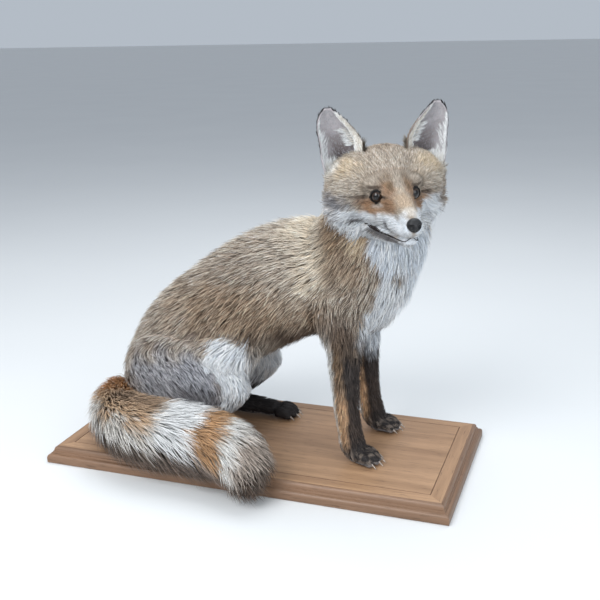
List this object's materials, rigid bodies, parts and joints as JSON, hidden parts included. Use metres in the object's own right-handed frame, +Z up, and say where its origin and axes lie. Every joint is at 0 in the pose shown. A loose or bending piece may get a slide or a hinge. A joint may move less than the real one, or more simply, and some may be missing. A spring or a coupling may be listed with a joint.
{
  "type": "taxidermy red fox on plinth",
  "caption": "Mounted red fox sitting upright with its head turned and its tail curled round, on a moulded oak plinth; a still display model.",
  "frame": {"origin": "middle of the plinth's underside", "axes": "+X the way the fox's body faces, along the plinth's length; +Y to the fox's left; +Z up"},
  "size_m": [0.6, 0.3376, 0.5205],
  "materials": {
    "coat_body": "grizzled grey-brown fur with pale tips",
    "coat_head": "short fur, grizzled above and white on the cheeks and chin",
    "coat_legs": "short black-brown fur with tan at the back of the forelegs",
    "coat_tail": "long brush of orange-brown and cream fur with dark ends",
    "ear_skin": "thin skin with cream fur inside and black fur behind",
    "eye_glass": "dark amber glass eye with a round black pupil",
    "nose_skin": "black pebbled nose leather, satin",
    "oak": "warm brown oak, satin varnish"
  },
  "bodies": {
    "root": {"head": "coat_head", "neck": "coat_body", "chest": "coat_body", "trunk": "coat_body", "rump": "coat_body", "foreleg_left": "coat_legs", "foreleg_right": "coat_legs", "forepaw_left": "coat_legs", "forepaw_right": "coat_legs", "thigh_left": "coat_body", "thigh_right": "coat_body", "knee_left": "coat_body", "knee_right": "coat_body", "hind_foot_left": "coat_legs", "hind_foot_right": "coat_legs", "tail_root": "coat_tail", "tail_base": "coat_tail", "tail_middle": "coat_tail", "tail_tip": "coat_tail", "ear_left": "ear_skin", "ear_right": "ear_skin", "eye_left": "eye_glass", "eye_right": "eye_glass", "nose": "nose_skin", "stand_plinth": "oak"}
  },
  "joints": []
}
